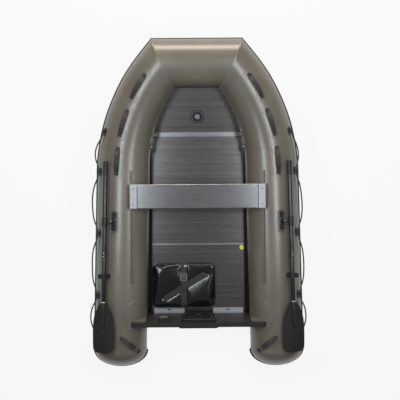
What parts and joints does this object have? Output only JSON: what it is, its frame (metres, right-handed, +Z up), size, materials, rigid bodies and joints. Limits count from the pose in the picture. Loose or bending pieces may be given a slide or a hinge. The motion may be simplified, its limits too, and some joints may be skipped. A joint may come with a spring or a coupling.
{
  "type": "inflatable boat",
  "caption": "Inflatable tender with mitred tubes, air keel, aluminium floor, raked transom, sliding seat and stowed oars.",
  "frame": {"origin": "under the middle of the hull, on the ground", "axes": "+Y to the bow, +X to starboard, +Z up"},
  "size_m": [1.5889, 2.38, 0.518],
  "materials": {
    "hull_fabric": "satin coated fabric",
    "patch_fabric": "satin coated fabric",
    "black_rubber": "satin",
    "floor_aluminium": "brushed and anodised grey",
    "bare_aluminium": "satin",
    "black_plastic": "moulded",
    "grey_plastic": "moulded",
    "blade_plastic": "moulded",
    "yellow_plastic": "moulded",
    "transom_wood": "painted plywood",
    "steel": "brushed",
    "webbing": "woven webbing",
    "bag_vinyl": "glossy coated fabric",
    "braided_line": "braided"
  },
  "bodies": {
    "root": {"port_tube": "hull_fabric", "starboard_tube": "hull_fabric", "bow_tube": "hull_fabric", "stern_cones": "hull_fabric", "port_rub_strake": "black_rubber", "starboard_rub_strake": "black_rubber", "bow_rub_strake": "black_rubber", "bottom_skin": "hull_fabric", "keel_tube": "hull_fabric", "keel_valve": "black_plastic", "bow_floor_board": "floor_aluminium", "front_floor_board": "floor_aluminium", "middle_floor_board": "floor_aluminium", "aft_floor_board": "floor_aluminium", "floor_joint_profiles": "floor_aluminium", "floor_stringers": "floor_aluminium", "floor_lock_button": "yellow_plastic", "transom_board": "transom_wood", "inner_motor_pad": "black_plastic", "outer_motor_pad": "black_plastic", "drain_plug": "black_plastic", "transom_holders": "black_rubber", "floor_clips": "bare_aluminium", "transom_eye": "steel", "accessory_block": "black_plastic", "seat_tracks": "black_rubber", "port_bow_handles": "webbing", "starboard_bow_handles": "webbing", "stern_handles": "webbing", "handle_patches": "patch_fabric", "rowlock_bases": "black_plastic", "oar_clips": "black_plastic", "line_eyes": "black_rubber", "port_grab_line": "braided_line", "starboard_grab_line": "braided_line", "port_line_knots": "braided_line", "starboard_line_knots": "braided_line", "inflation_valves": "black_plastic", "tow_eye": "black_rubber", "battery_bag": "bag_vinyl", "bag_straps": "webbing"},
    "seat": {"seat_plank": "bare_aluminium", "seat_end_caps": "grey_plastic", "seat_rails": "bare_aluminium"},
    "port_oar": {"port_rowlock": "black_plastic", "port_oar_shaft": "bare_aluminium", "port_oar_grip": "black_plastic", "port_oar_blade": "blade_plastic"},
    "starboard_oar": {"starboard_rowlock": "black_plastic", "starboard_oar_shaft": "bare_aluminium", "starboard_oar_grip": "black_plastic", "starboard_oar_blade": "blade_plastic"}
  },
  "joints": [
    {"name": "seat_slide", "type": "slide", "parent": "root", "child": "seat", "axis": [0, 0.9999, 0.0126], "range_m": [-0.5, 0.08]},
    {"name": "starboard_oar_swing", "type": "hinge", "parent": "root", "child": "starboard_oar", "pos_m": [0.59977, -0.12239, 0.37353], "axis": [0.2588, 0.0059, 0.9659], "range_deg": [0, 110]},
    {"name": "port_oar_swing", "type": "hinge", "parent": "root", "child": "port_oar", "pos_m": [-0.59977, -0.12239, 0.37353], "axis": [0.2588, -0.0059, -0.9659], "range_deg": [0, 110]}
  ]
}
